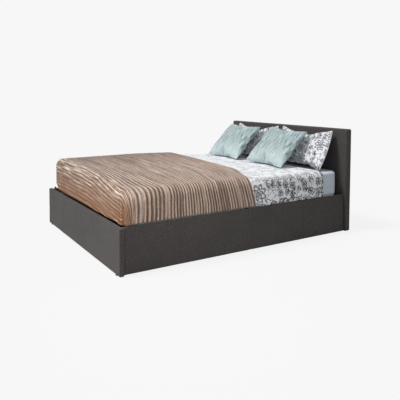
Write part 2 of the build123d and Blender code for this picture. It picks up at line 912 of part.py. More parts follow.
for side_name, side in (("near", 1), ("far", -1)):
    pillow = soft_pad(pillow_width, pillow_height, pillow_thickness, pillow_lean_angle)
    pillow_x = pillow_pair_shift + side * (pillow_width + pillow_gap) / 2
    pillow_back = head_face - seat_gap
    save(seated(pillow, pillow_x, pillow_back, sheet_top + seat_gap), f"{side_name}_pillow")

    cushion = soft_pad(cushion_width, cushion_height, cushion_thickness, cushion_lean_angle)
    cushion_x = cushion_pair_shift + side * (cushion_width + cushion_gap) / 2
    cushion_back = head_face - cushion_head_gap
    save(seated(cushion, cushion_x, cushion_back, duvet_top + seat_gap), f"{side_name}_cushion")
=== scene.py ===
import json
from math import atan2, cos, hypot, pi, radians, sin

import bpy
from mathutils import Euler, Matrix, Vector, noise


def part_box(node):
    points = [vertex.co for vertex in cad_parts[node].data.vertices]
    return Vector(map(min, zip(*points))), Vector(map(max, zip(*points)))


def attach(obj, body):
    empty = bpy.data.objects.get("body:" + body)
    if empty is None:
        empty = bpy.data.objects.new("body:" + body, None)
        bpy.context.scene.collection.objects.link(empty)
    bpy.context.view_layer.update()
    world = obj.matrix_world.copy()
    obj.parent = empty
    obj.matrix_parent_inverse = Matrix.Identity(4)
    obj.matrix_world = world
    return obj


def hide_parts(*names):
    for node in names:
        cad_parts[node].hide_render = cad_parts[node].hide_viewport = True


# A side-lift ottoman storage bed with its bedding, in metres.
# X runs across the bed, Y from the footboard to the headboard, Z up.
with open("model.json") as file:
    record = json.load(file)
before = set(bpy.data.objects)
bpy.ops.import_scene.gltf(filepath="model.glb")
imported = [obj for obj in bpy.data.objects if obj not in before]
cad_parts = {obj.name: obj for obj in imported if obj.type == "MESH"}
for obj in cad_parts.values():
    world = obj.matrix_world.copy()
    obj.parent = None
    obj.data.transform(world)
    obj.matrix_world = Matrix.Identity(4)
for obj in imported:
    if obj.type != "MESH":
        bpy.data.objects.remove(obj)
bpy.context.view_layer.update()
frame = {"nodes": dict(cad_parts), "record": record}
scene = bpy.context.scene

# Upholstery: thickness, then each kind of board's rounding, grid step, waviness and flat cloth
cover_cloth = 0.0016
cover_forms = {
    "headboard": (0.012, 0.020, 0.0008, (1.70, 1.10)),
    "footboard": (0.008, 0.016, 0.0006, (1.50, 0.66)),
    "rail": (0.005, 0.016, 0.0004, (2.00, 0.63)),
}
seam_width = 0.005
seam_depth = 0.0012
pucker_reach = 0.035
pucker_depth = 0.0005
pucker_pitch = 0.021
rail_seams = (-0.494, 0.010, 0.514)
footboard_seams = (-0.335, 0.315)

# Back lining of the headboard
lining_cloth = 0.0008
lining_rows = 64
lining_columns = 120
lining_sunk = 0.0006
lining_slack = 0.0006
lining_slack_cells = 6
lining_margin = 0.012
lining_reach = 0.004

# Mattress and its edge tapes
mattress_corner = 0.080
least_corner = 0.004
mattress_edge = 0.022
mattress_edge_steps = 6
mattress_bulge = 0.003
mattress_side_shares = (0.2, 0.35, 0.5, 0.65, 0.8)
mattress_cap_insets = (0.30, 0.12, 0.05)
tape_drop = 0.004
tape_half = 0.0045
tape_out = 0.0014
tape_sunk = 0.0012
tape_steps = 8

# Fitted sheet
sheet_cloth = 0.0012
sheet_out = 0.0023
sheet_gather = 0.0009
sheet_crease = 0.0012
sheet_spine_gap = 0.1
sheet_rows = 16
sheet_edge_steps = 7
sheet_cap_insets = (0.04, 0.08, 0.16, 0.30)
sheet_ring_steps = {"steps": 16, "side_steps": 60}

# Draped bedding: its top rises towards the far side and its near foot corner is the softest
crown_rise = 0.045
crown_lead = 0.9
crown_places = ((-0.247, 1.0), (0.097, 0.75), (0.344, 0.3), (0.462, 0.0))
near_corner_growth = 0.038
near_corner_reach = 0.2
hem_rise_reach = (0.02, 0.09)
far_hem = 0.346
hem_bend = 0.600
hem_bend_reach = 0.030

# Duvet
duvet_side_room = 0.018
duvet_top_room = 0.022
duvet_loft = 0.034
duvet_least_loft = 0.008
duvet_sheet_gap = 0.0012
duvet_round = 0.058
duvet_step = 0.010
duvet_hem_gap = 0.001
duvet_puffs = ((0.7, 4.2, 3.3), (0.35, 11, 6.2))
duvet_wave = 0.8
duvet_slack = 0.0012
duvet_top_slack = 0.0018
duvet_head_sunk = 0.005
duvet_head_reach = 0.02
duvet_tuck = 0.020
duvet_tuck_from = 0.110
duvet_tuck_reach = 0.1

# Throw
rib_pitch = 0.0255
rib_height = 0.0038
throw_cloth = 0.0025
throw_round = 0.066
throw_step = 0.0032
throw_hem = 0.314
throw_foot_hem = 0.3055
throw_edge_shifts = ((0.02, -1, (-0.3, 0.8)), (-0.125, 1, (0.30, 0.71)), (0.042, 1, (0.70, 0.88)))
throw_sweep = 0.06
throw_sweep_across = (0.05, 0.66)
throw_sweep_before = 0.32
throw_sweep_after = 0.12
throw_slip_reach = 0.95
throw_slip_end = (0.8, 1.0)
throw_wander = 0.004
rib_wander = 0.0035
throw_sunk = 0.0017
throw_crinkle = 0.0007
throw_fold = 0.009
fold_reach = (0.05, 0.22)
fold_start = (0.05, 0.45)
fold_end = (1.1, 1.5)
folds_per_turn = 15
throw_flat_steps = 28
throw_bend_steps = 15
throw_hang_steps = 11

# Pads: sewn width, height and thickness, filling pressure and lean; each one's roll; cut and rest
pad_forms = {
    "pillow": {"size": (0.606, 0.366, 0.136), "pressure": 3.2, "lean": 26, "slot": "pillow_cotton"},
    "cushion": {"size": (0.45, 0.412, 0.118), "pressure": 4.0, "lean": 45, "slot": "cushion_fabric"},
}
pad_rolls = {"near_pillow": 1, "far_pillow": 0, "near_cushion": 3, "far_cushion": 1}
pad_cut_curve = 0.055
pad_start_bulge = 0.22
pad_grid = 0.0125
pad_frames = 22
pad_back_offset = 3
pad_seat_reach = 0.02
pad_wall_reach = 0.012
pad_wall_gap = 0.0005
cloth_settings = {
    "quality": 6,
    "mass": 0.25,
    "tension_stiffness": 20,
    "compression_stiffness": 20,
    "shear_stiffness": 8,
    "bending_stiffness": 0.6,
    "air_damping": 4,
    "use_pressure": True,
}

# Pull strap
strap_cloth = 0.001
strap_rows = 40
strap_columns = 8

# Flowers of the print; each ring has its reach as a share of the size, its petals and their scallop
rose = {
    "cells": 5.4,
    "size": 0.064,
    "line": 0.0054,
    "kept": 0.4,
    "root_tone": 0.9,
    "start": 3.1,
    "rings": ((1.0, 8, 0.34), (0.6, 6, 0.28), (0.26, 3, 0.12)),
}
bloom = {
    "cells": 15,
    "size": 0.025,
    "line": 0.0044,
    "kept": 0.8,
    "root_tone": 0.2,
    "start": 7.7,
    "rings": ((1.0, 5, 0.5), (0.35, 5, 0.2)),
}

# Threads and quilting of the cloths
upholstery_thread = 0.0022
cotton_thread = 0.0012
tape_thread = 0.003
quilt_pitch = 0.09
sheen_roughness = 0.4

# Camera, solved from the photograph's perspective for a square frame
frame_pixels = 400
focal_pixels = 476.0
centre_pixels = (150.0, 118.72)
sensor_width = 36
camera_place = (3.2864, -2.2256, 1.1168)
camera_turn = (radians(87), 0.0019, radians(61.281))

# Lamps, sky and floor
backdrop = (247, 247, 247)
key_way = Vector((-0.16, -0.53, 0.82))
key_strength = 2.4
key_softness = 14
sky_strength = 0.42
fill_place = Vector((3.2, -2.2, 1.7))
fill_aim = Vector((0.60, -0.60, 0.3))
fill_power = 175
fill_spread = 40
fill_size = 0.6
floor_half = 30
floor_bounce = 0.40
floor_share = 0.07


# Small helpers
def clamp(value, low, high):
    return max(low, min(high, value))


def smooth_step(value, low, high):
    share = clamp((value - low) / (high - low), 0, 1)
    return share * share * (3 - 2 * share)


def wander(point, scale, seed):
    """Smooth noise from -1 to 1 that changes over about 1 / scale metres."""
    return noise.noise(Vector(point) * scale + Vector((seed, 2 * seed, 3 * seed)))


def dress(piece, body, slot, stands_for=(), look=None):
    """Gives a finished piece its body, material slot, replaced nodes and look, by default its slot's."""
    piece.data.materials.clear()
    piece.data.materials.append(made_materials[look or slot])
    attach(piece, body)
    if stands_for:
        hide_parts(*stands_for)
    return piece


def new_object(name, data):
    """An object that is linked into the scene."""
    made = bpy.data.objects.new(name, data)
    scene.collection.objects.link(made)
    return made


def mesh_piece(name, points, faces, cloth=None):
    """A smooth mesh object; cloth holds each point's place on the flat cloth."""
    mesh = bpy.data.meshes.new(name)
    mesh.from_pydata(points, [], faces)
    if cloth:
        layer = mesh.uv_layers.new(name="cloth")
        for loop in mesh.loops:
            layer.uv[loop.index].vector = cloth[loop.vertex_index]
    mesh.shade_smooth()
    mesh.validate()
    return new_object(name, mesh)


def thicken(piece, thickness):
    """Gives an open surface its cloth thickness, inwards."""
    solid = piece.modifiers.new("cloth thickness", "SOLIDIFY")
    solid.thickness = thickness
    solid.offset = -1
    return piece


def grid_piece(name, rows, columns, place):
    """An open surface through place(row, column), which gives a point and its flat cloth place."""
    spots = [place(row, column) for row in range(rows + 1) for column in range(columns + 1)]
    points, cloth = zip(*spots)
    across = columns + 1
    firsts = [row * across + column for row in range(rows) for column in range(columns)]
    faces = [(first, first + 1, first + across + 1, first + across) for first in firsts]
    return mesh_piece(name, points, faces, cloth)


# Node helpers for the materials
def add_node(kind, inputs=(), tree=None, **settings):
    """Adds a node of a kind, with its settings and its inputs as (socket, value or output) pairs.

    It goes into the given tree, or into that of the first output among its inputs."""
    if tree is None:
        tree = next(value.id_data for _, value in inputs if isinstance(value, bpy.types.NodeSocket))
    made = tree.nodes.new(f"ShaderNode{kind}")
    for name, value in settings.items():
        setattr(made, name, value)
    for socket, value in inputs:
        if isinstance(value, bpy.types.NodeSocket):
            tree.links.new(value, made.inputs[socket])
        else:
            made.inputs[socket].default_value = value
    return made


def maths(operation, *values):
    """One maths node; returns its output."""
    return add_node("Math", list(enumerate(values)), operation=operation).outputs[0]


def joined(operation, values):
    """Several values joined two by two with one operation."""
    result = values[0]
    for value in values[1:]:
        result = maths(operation, result, value)
    return result


def plus(*values):
    return joined("ADD", values)


def times(*values):
    return joined("MULTIPLY", values)


def highest(*values):
    return joined("MAXIMUM", values)


def vector_maths(operation, *values):
    """One vector maths node; returns its outputs."""
    return add_node("VectorMath", list(enumerate(values)), operation=operation).outputs


def mapped(value, from_low, from_high, to_low, to_high):
    """A value carried from one range to another, held inside the new range."""
    pairs = [(0, value), (1, from_low), (2, from_high), (3, to_low), (4, to_high)]
    return add_node("MapRange", pairs, interpolation_type="SMOOTHSTEP").outputs[0]


def colour(red, green, blue):
    """A colour written as 0 to 255, turned into the renderer's linear values."""
    linear = []
    for part in (red, green, blue):
        share = part / 255
        linear.append(share / 12.92 if share <= 0.04045 else ((share + 0.055) / 1.055) ** 2.4)
    return (*linear, 1.0)


def blend_colour(share, first, second, blend_type="MIX"):
    """A mix by a share from 0 to 1; each colour is an output, 0 to 255 in three, or linear in four."""
    ends = [colour(*end) if isinstance(end, tuple) and len(end) == 3 else end for end in (first, second)]
    pairs = [(0, share), (6, ends[0]), (7, ends[1])]
    return add_node("Mix", pairs, data_type="RGBA", blend_type=blend_type).outputs[2]


def tinted(tone, tint, *spans):
    """A tone turned towards a tint, by the share that mapped makes of a value and two ranges."""
    return blend_colour(mapped(*spans), tone, tint)


def noise_value(coords, scale, detail=3.0, rough=0.55, stretch=None):
    """A noise texture's value, the coordinates stretched where asked."""
    if stretch:
        coords = vector_maths("MULTIPLY", coords, stretch)[0]
    pairs = [("Vector", coords), ("Scale", scale), ("Detail", detail), ("Roughness", rough)]
    return add_node("TexNoise", pairs).outputs[0]


def cell_texture(coords, scale, inputs=(), **settings):
    """A flat cell texture; returns its outputs."""
    pairs = [("Vector", coords), ("Scale", scale), *inputs]
    return add_node("TexVoronoi", pairs, voronoi_dimensions="2D", **settings).outputs


def bump(height, distance, strength=1.0, under=None):
    """A bump node; under is the normal of a coarser bump below it."""
    pairs = [("Height", height), ("Distance", distance), ("Strength", strength)]
    if under:
        pairs.append(("Normal", under))
    return add_node("Bump", pairs).outputs[0]


def set_inputs(node, values):
    for socket, value in values.items():
        node.inputs[socket].default_value = value


def new_material(name, roughness, sheen=0.0, metallic=0.0, specular=0.3):
    """A principled material with its even values set on the shader."""
    made = bpy.data.materials.new(name)
    made.use_nodes = True
    values = {"Roughness": roughness, "Sheen Weight": sheen, "Sheen Roughness": sheen_roughness}
    values |= {"Metallic": metallic, "Specular IOR Level": specular}
    set_inputs(made.node_tree.nodes["Principled BSDF"], values)
    return made


def surfaced(made, tone, normal, rough=None):
    """Gives a material its colour and relief, and its roughness where that varies."""
    tree = made.node_tree
    shader = tree.nodes["Principled BSDF"]
    tree.links.new(tone, shader.inputs["Base Color"])
    tree.links.new(normal, shader.inputs["Normal"])
    if rough:
        tree.links.new(rough, shader.inputs["Roughness"])
    return made


def place_of(made):
    """The surface's own coordinates in metres."""
    return add_node("TexCoord", tree=made.node_tree).outputs["Object"]


def cloth_place(made):
    """The place on the flat cloth, in metres."""
    return add_node("UVMap", tree=made.node_tree, uv_map="cloth").outputs[0]


def split(vector):
    """The X, Y and Z of a vector."""
    return add_node("SeparateXYZ", [(0, vector)]).outputs


def threads(vector, pitch):
    """A plain weave's height on any face that lies square to the axes."""
    waves = [maths("SINE", times(part, 2 * pi / pitch)) for part in split(vector)]
    return plus(*[times(waves[i], waves[j]) for i, j in ((0, 2), (1, 2), (0, 1))])


# Cloth materials
def upholstery_material():
    """Charcoal woven upholstery with a heathered yarn."""
    made = new_material("upholstery weave", 0.93, sheen=0.12, specular=0.22)
    place = place_of(made)
    yarn = noise_value(place, 420, detail=2.0)
    slub = noise_value(place, 110, detail=4.0)
    cloud = noise_value(place, 3.2)
    tone = tinted((54, 50, 49), (92, 87, 86), yarn, 0.32, 0.68, 0, 1)
    tone = tinted(tone, (116, 111, 110), slub, 0.52, 0.70, 0, 0.4)
    tone = tinted(tone, (58, 55, 54), cloud, 0.35, 0.75, 0, 0.3)
    coarse = bump(noise_value(place, 26), 0.0016, 0.4)
    weave = bump(threads(place, upholstery_thread), 0.0004, 0.6, under=coarse)
    return surfaced(made, tone, weave)


def cotton_material(name, pale, shade):
    """Plain smooth cotton with soft creases."""
    made = new_material(name, 0.85, sheen=0.12)
    place = place_of(made)
    tone = tinted(pale, shade, noise_value(place, 6, detail=4.0), 0.3, 0.7, 0, 1)
    folds = bump(noise_value(place, 9, detail=5.0, stretch=(1.0, 0.5, 1.0)), 0.003, 0.6)
    weave = bump(threads(place, cotton_thread), 0.00015, 0.5, under=folds)
    return surfaced(made, tone, weave)


def flower_lines(coords, flower, seed):
    """Drawn rosettes in the kept share of the cells: rings of scalloped petals, shaded at their roots.

    Returns the mask of the lines and each point's distance from its flower, as a share of size."""
    size, line, kept = flower["size"], flower["line"], flower["kept"]
    start = flower["start"] + seed
    moved = vector_maths("ADD", coords, (start, start * 1.7, 0))[0]
    cells = cell_texture(moved, flower["cells"], [("Randomness", 0.72)])
    local = vector_maths("SUBTRACT", moved, cells["Position"])[0]
    parts = split(local)
    chance = split(cells["Color"])
    turn = times(chance[0], 2 * pi)
    angle = plus(maths("ARCTAN2", parts[1], parts[0]), turn)
    grown = plus(times(chance[1], 0.45), 0.72)
    reach = vector_maths("LENGTH", local)["Value"]
    distance = maths("DIVIDE", reach, times(grown, size))
    distance = plus(distance, mapped(chance[2], kept, kept + 0.01, 0, 3))
    drawn = []
    for number, (ring, petals, scallop) in enumerate(flower["rings"]):
        wave = maths("SINE", maths("MULTIPLY_ADD", angle, petals / 2, number * 0.9))
        lobe = maths("MULTIPLY_ADD", maths("ABSOLUTE", wave), scallop, ring - scallop)
        inward = maths("SUBTRACT", lobe, distance)
        drawn.append(mapped(maths("ABSOLUTE", inward), line * 0.35 / size, line / size, 1, 0))
        root = mapped(inward, 0.08, 0.12, 0, flower["root_tone"])
        drawn.append(times(root, mapped(inward, 0.12, 0.22, 1, 0)))
    return highest(*drawn), distance


def flower_print(coords, seed):
    """The lines of the print: large rosettes, small blossoms, curling stems and leaves."""
    roses, from_rose = flower_lines(coords, rose, seed)
    blooms, from_bloom = flower_lines(coords, bloom, seed)
    swirl = add_node("TexNoise", [("Vector", coords), ("Scale", 14)]).outputs["Color"]
    curl = add_node("VectorMath", [(0, swirl), ("Scale", 0.09)], operation="SCALE").outputs[0]
    bent = vector_maths("ADD", coords, curl)[0]
    vine = cell_texture(bent, 19, feature="DISTANCE_TO_EDGE")["Distance"]
    stems = mapped(vine, 0.03, 0.075, 1, 0)
    broken = mapped(noise_value(coords, 30, detail=1.0), 0.4, 0.5, 0, 1)
    vein = maths("SUBTRACT", noise_value(coords, 42, detail=2.0), 0.5)
    leaves = mapped(maths("ABSOLUTE", vein), 0.014, 0.04, 1, 0)
    near_bloom = mapped(from_bloom, 1.0, 1.8, 1, 0)
    open_ground = mapped(from_rose, 1.15, 1.35, 0, 1)
    small = highest(blooms, times(stems, broken), times(leaves, near_bloom))
    return highest(roses, times(small, open_ground))


def floral_material(name, ground, ink, print_share_in_painted_light, painted_light_above, scale=1.0, seed=0.0, border=None):
    """White cotton with a dark print; above the given height the print thins to the given share, painted
    light that washes out the top.
    """
    made = new_material(name, 0.82, sheen=0.1)
    flat = cloth_place(made)
    place = place_of(made)
    coords = vector_maths("MULTIPLY", flat, (scale, scale, 1))[0]
    # painted light: the print fades on the top surfaces, as if washed out by the lamp
    strength = mapped(split(place)[2], painted_light_above, painted_light_above + 0.10, 1, print_share_in_painted_light)
    drawn = times(flower_print(coords, seed), strength)
    if border:
        in_border = mapped(split(flat)[0], *border, 1, 0)
        band = noise_value(flat, 70, detail=2.0, stretch=(0.7, 1.0, 1.0))
        drawn = highest(drawn, times(mapped(band, 0.42, 0.5, 0, 0.95), in_border))
    folds = bump(noise_value(place, 8, detail=5.0), 0.004, 0.6)
    weave = bump(threads(place, cotton_thread), 0.00012, 0.5, under=folds)
    return surfaced(made, blend_colour(drawn, ground, ink), weave)


def throw_material():
    """Bronze satin in sewn pleats, crinkled across; warmer where it hangs at the foot. Painted shade lies
    in the grooves, in random streaks and on the far side; painted highlights lie on the crests, in random
    streaks and along the foot edge.
    """
    made = new_material("pleated satin", 0.5, sheen=0.06)
    flat = cloth_place(made)
    spot = split(place_of(made))
    rib = maths("COSINE", times(split(flat)[0], 2 * pi / rib_pitch))
    fray = noise_value(flat, 130, detail=2.0, stretch=(0.6, 0.5, 1.0))
    rib = plus(rib, maths("MULTIPLY_ADD", fray, 0.9, -0.45))
    streak = noise_value(flat, 60, stretch=(2.2, 0.5, 1.0))
    tone = tinted((134, 109, 94), (160, 136, 119), streak, 0.35, 0.68, 0, 1)
    # painted shade in the pleats' grooves and painted highlight on their crests, following the ribs
    painted_groove_shade, painted_crest_highlight = (66, 45, 37), (212, 192, 176)
    tone = tinted(tone, painted_groove_shade, rib, -1.1, -0.15, 0.92, 0)
    tone = tinted(tone, painted_crest_highlight, rib, 0.3, 1.0, 0, 0.8)
    # random dark and light streaks along the ribs: painted shade and painted highlight
    band = noise_value(flat, 34, rough=0.75, stretch=(1.0, 0.05, 1.0))
    tone = tinted(tone, (84, 64, 53), band, 0.5, 0.62, 0, 0.6)
    tone = tinted(tone, (206, 186, 173), band, 0.36, 0.46, 0.5, 0)
    # painted shade: the throw darkens towards its far side
    painted_far_shade = mapped(spot[0], -0.66, 0.15, 1, 0)
    tone = blend_colour(painted_far_shade, tone, (0.60, 0.55, 0.51, 1.0), blend_type="MULTIPLY")
    at_foot = mapped(spot[1], -0.985, -0.90, 1, 0)
    low_down = mapped(spot[2], 0.34, 0.56, 1, 0.2)
    tone = blend_colour(times(at_foot, low_down, 0.8), tone, (138, 88, 48))
    # painted highlight: bright satin lines along the rounded foot edge
    highlight_lines = noise_value(flat, 105, detail=2.0, stretch=(1.5, 0.04, 1.0))
    near_foot = mapped(spot[1], -0.955, -0.86, 1, 0.06)
    near_top = mapped(spot[2], 0.40, 0.49, 0.3, 1)
    painted_foot_highlight = times(near_foot, near_top, mapped(highlight_lines, 0.53, 0.62, 0, 0.85))
    tone = blend_colour(painted_foot_highlight, tone, (240, 224, 202))
    crinkle = noise_value(flat, 150, detail=2.0, stretch=(0.35, 1.0, 1.0))
    coarse = bump(crinkle, 0.0014, 0.5)
    fine = bump(noise_value(flat, 700, detail=1.0), 0.0003, 0.3, under=coarse)
    return surfaced(made, tone, fine)


def cushion_material(name, pale, deep, painted_light_tone):
    """Slubbed pale satin, its slubs running up the cushion, with painted light that makes it paler towards
    its lower edge.
    """
    made = new_material(name, 0.5, sheen=0.2, specular=0.4)
    flat = cloth_place(made)
    slub = noise_value(flat, 125, detail=4.0, rough=0.7, stretch=(1.0, 0.10, 1.0))
    cross = noise_value(flat, 120, stretch=(0.15, 1.0, 1.0))
    tone = tinted(deep, pale, slub, 0.38, 0.58, 0, 1)
    tone = tinted(tone, deep, cross, 0.55, 0.75, 0, 0.35)
    # painted light: paler towards the lower edge
    tone = tinted(tone, painted_light_tone, split(flat)[1], -0.20, 0.0, 0.5, 0)
    crinkle = bump(slub, 0.0018, 0.7)
    return surfaced(made, tone, bump(cross, 0.0008, 0.5, under=crinkle))


def ticking_material():
    """Mattress fabric with a quilted diamond relief."""
    made = new_material("mattress ticking", 0.88, sheen=0.1)
    place = place_of(made)
    x, y, _ = split(place)
    waves = []
    for way in (plus(x, y), maths("SUBTRACT", x, y)):
        waves.append(maths("ABSOLUTE", maths("SINE", times(way, pi / quilt_pitch))))
    quilt = maths("POWER", times(*waves), 0.4)
    weave = noise_value(place, 400, detail=2.0)
    tone = tinted((222, 222, 222), (240, 240, 238), weave, 0.35, 0.65, 0, 1)
    coarse = bump(quilt, 0.004, 0.6)
    return surfaced(made, tone, bump(weave, 0.0003, 0.5, under=coarse))


def woven_tape_material(name, dark, pale):
    """Ribbed webbing or non-woven lining."""
    made = new_material(name, 0.9)
    place = place_of(made)
    tone = tinted(dark, pale, noise_value(place, 600, detail=2.0), 0.35, 0.65, 0, 1)
    return surfaced(made, tone, bump(threads(place, tape_thread), 0.0004, 0.6))


# Hard materials
def wood_material(name, pale, dark, stretch, grain_scale, roughness=0.6):
    """Wood with its grain along the axis that stretch makes long."""
    made = new_material(name, roughness, specular=0.4)
    place = place_of(made)
    grain = noise_value(place, grain_scale, detail=5.0, rough=0.6, stretch=stretch)
    fine = noise_value(place, grain_scale * 6, stretch=stretch)
    tone = tinted(pale, dark, grain, 0.35, 0.68, 0, 1)
    tone = tinted(tone, dark, fine, 0.5, 0.75, 0, 0.35)
    return surfaced(made, tone, bump(fine, 0.0003, 0.5))


def board_material(name, pale, dark, speck_scale):
    """Pressed board with a speckle of chips."""
    made = new_material(name, 0.75)
    chips = noise_value(place_of(made), speck_scale, detail=4.0, rough=0.7)
    tone = tinted(pale, dark, chips, 0.38, 0.62, 0, 1)
    return surfaced(made, tone, bump(chips, 0.0003, 0.5))


def coated_material(name, base, worn, roughness, grain, depth, metallic=0.0):
    """Painted or moulded surface with a fine texture and slight wear."""
    made = new_material(name, roughness, specular=0.5, metallic=metallic)
    place = place_of(made)
    cloud = noise_value(place, 14, detail=4.0)
    skin = noise_value(place, grain, detail=2.0)
    tone = tinted(base, worn, cloud, 0.45, 0.75, 0, 1)
    rough = mapped(cloud, 0.3, 0.7, roughness - 0.08, roughness + 0.1)
    return surfaced(made, tone, bump(skin, depth, 0.5), rough)


made_materials = {
    "upholstery": upholstery_material(),
    "foam": coated_material("foam", (228, 222, 190), (214, 206, 170), 0.9, 700, 0.0006),
    "panel_board": board_material("particle board", (196, 170, 132), (150, 122, 88), 260),
    "timber": wood_material("pine", (214, 184, 136), (178, 140, 92), (1.0, 0.08, 1.0), 55),
    "storage_board": board_material("storage board", (62, 60, 58), (44, 42, 41), 180),
    "lining": woven_tape_material("back lining", (26, 26, 28), (40, 40, 42)),
    "zinc_steel": coated_material("zinc plate", (196, 199, 203), (168, 171, 176), 0.38, 300, 0.0001, 1.0),
    "black_steel": coated_material("black powder coat", (30, 30, 32), (40, 40, 42), 0.48, 900, 0.0002),
    "strut_rod": coated_material("polished rod", (222, 224, 228), (206, 208, 212), 0.14, 200, 0.00002, 1.0),
    "black_plastic": coated_material("black plastic", (28, 28, 28), (36, 36, 36), 0.55, 800, 0.0001),
    "buffer_rubber": coated_material("rubber", (24, 24, 24), (33, 32, 31), 0.8, 500, 0.0002),
    "slat_wood": wood_material("birch slat", (222, 192, 146), (196, 160, 110), (0.07, 1.0, 1.0), 70, 0.45),
    "webbing": woven_tape_material("webbing", (38, 38, 41), (56, 56, 60)),
    "mattress_fabric": ticking_material(),
    "sheet_cotton": cotton_material("sheet cotton", (206, 214, 225), (196, 205, 218)),
    "duvet_cotton": floral_material(
        "printed duvet cotton", (238, 240, 243), (26, 26, 36), 0.16, 0.45, border=(0.018, 0.032)
    ),
    "throw_satin": throw_material(),
    "pillow_cotton": floral_material(
        "printed pillow cotton", (232, 234, 238), (34, 35, 46), 0.9, 0.78, scale=1.5, seed=1.3
    ),
    "cushion_fabric": cushion_material("slubbed satin", (178, 194, 196), (84, 110, 113), (214, 228, 230)),
}


# Frame: every kept CAD node gets the material of its slot
slot_of = {part["node"]: part["material_slot"] for part in frame["record"]["subparts"]}
for node_name, cad_object in frame["nodes"].items():
    cad_object.data.materials.clear()
    cad_object.data.materials.append(made_materials[slot_of[node_name]])


# Upholstered boards
def spaced(low, high, radius, step, seams=()):
    """Grid places along an edge: close in the rounded ends and at the seams."""
    count = max(1, round((high - low - 2 * radius) / step))
    places = [low + radius + (high - low - 2 * radius) * number / count for number in range(count + 1)]
    for share in (0, 0.3, 0.6, 0.85):
        places.append(low + radius * share)
        places.append(high - radius * share)
    for seam in seams:
        places = [place for place in places if abs(place - seam) > seam_width]
        places += [seam + seam_width * share for share in (-0.9, -0.45, 0, 0.45, 0.9)]
    return sorted(places)


def wrapped_board(name, low, high, radius, step, shape, seams, leave_out):
    """A rounded cover round a board, as a surface; leave_out says which face points stay open."""
    inner_low = [value + radius for value in low]
    inner_high = [value - radius for value in high]
    grids = [spaced(low[axis], high[axis], radius, step, seams.get(axis, ())) for axis in range(3)]
    points = []
    index = {}
    faces = []

    def point_number(spot):
        key = tuple(round(value, 6) for value in spot)
        if key not in index:
            core = Vector([clamp(spot[a], inner_low[a], inner_high[a]) for a in range(3)])
            normal = (Vector(spot) - core).normalized()
            index[key] = len(points)
            points.append(shape(core + normal * radius, normal))
        return index[key]

    for axis in range(3):
        first, second = [a for a in range(3) if a != axis]
        for end, value in ((0, low[axis]), (1, high[axis])):
            for a, next_a in zip(grids[first], grids[first][1:]):
                for b, next_b in zip(grids[second], grids[second][1:]):
                    corners = []
                    for places in ((a, b), (next_a, b), (next_a, next_b), (a, next_b)):
                        spot = [value] * 3
                        spot[first], spot[second] = places
                        corners.append(spot)
                    middle = [sum(values) / 4 for values in zip(*corners)]
                    if leave_out and leave_out(middle):
                        continue
                    if (end == 1) == (axis == 1):
                        corners.reverse()
                    faces.append([point_number(spot) for spot in corners])
    return mesh_piece(name, points, faces)


def seamed_shape(axis, seams, puff):
    """A cover's small forms: seams drawn in, puckers beside them, and a slight waviness."""

    def shape(point, normal):
        drop = 0
        for seam in seams:
            off = abs(point[axis] - seam)
            drop += seam_depth * max(0, 1 - (off / seam_width) ** 2)
            pucker = sin(2 * pi * point.z / pucker_pitch + 9 * seam)
            drop += pucker_depth * pucker * max(0, 1 - off / pucker_reach)
        rise = puff * wander(point, 7, 1.7) + 0.4 * puff * wander(point, 22, 5.1)
        return point + normal * (rise - drop)

    return shape


def covered(board, kind, axis, seams, leave_out=None, open_ends=False):
    """One board's fabric cover: shaped, thickened and dressed."""
    radius, step, waviness, flat = cover_forms[kind]
    low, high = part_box(f"{board}_cover")
    if open_ends:
        low.y -= radius
        high.y += radius
    shape = seamed_shape(axis, seams, waviness)
    name = f"{board}_upholstery"
    piece = wrapped_board(name, low, high, radius, step, shape, {axis: seams}, leave_out)
    thicken(piece, cover_cloth)
    dress(piece, "base", "upholstery", [f"{board}_cover"])


lining_low, lining_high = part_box("headboard_lining")
rail_low, rail_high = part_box("near_rail_cover")


def under_lining(spot):
    """True inside the back opening that the lining covers."""
    inside_x = lining_low.x + lining_margin < spot[0] < lining_high.x - lining_margin
    inside_z = lining_low.z + lining_margin < spot[2] < lining_high.z - lining_margin
    return inside_x and inside_z and spot[1] > lining_high.y - lining_reach


def past_rail(spot):
    """True beyond the ends of a side rail, whose sleeve is open there."""
    return not rail_low.y - 1e-6 < spot[1] < rail_high.y + 1e-6


def make_covers():
    """The covers of the headboard, footboard and both side rails."""
    covered("headboard", "headboard", 0, (), under_lining)
    covered("footboard", "footboard", 0, footboard_seams)
    for side in ("near", "far"):
        covered(f"{side}_rail", "rail", 1, rail_seams, past_rail, open_ends=True)


def make_lining():
    """The non-woven lining on the headboard's back, slightly slack between its staples."""
    size = lining_high - lining_low

    def place(row, column):
        x = lining_high.x - size.x * column / lining_columns
        z = lining_low.z + size.z * row / lining_rows
        edge = min(column, lining_columns - column, row, lining_rows - row)
        slack = lining_slack * wander((x, 0, z), 11, 2.2) * clamp(edge / lining_slack_cells, 0, 1)
        return Vector((x, lining_high.y + slack - lining_sunk, z)), (x, z)

    lining = thicken(grid_piece("headboard_back_lining", lining_rows, lining_columns, place), lining_cloth)
    dress(lining, "base", "lining", ["headboard_lining"])


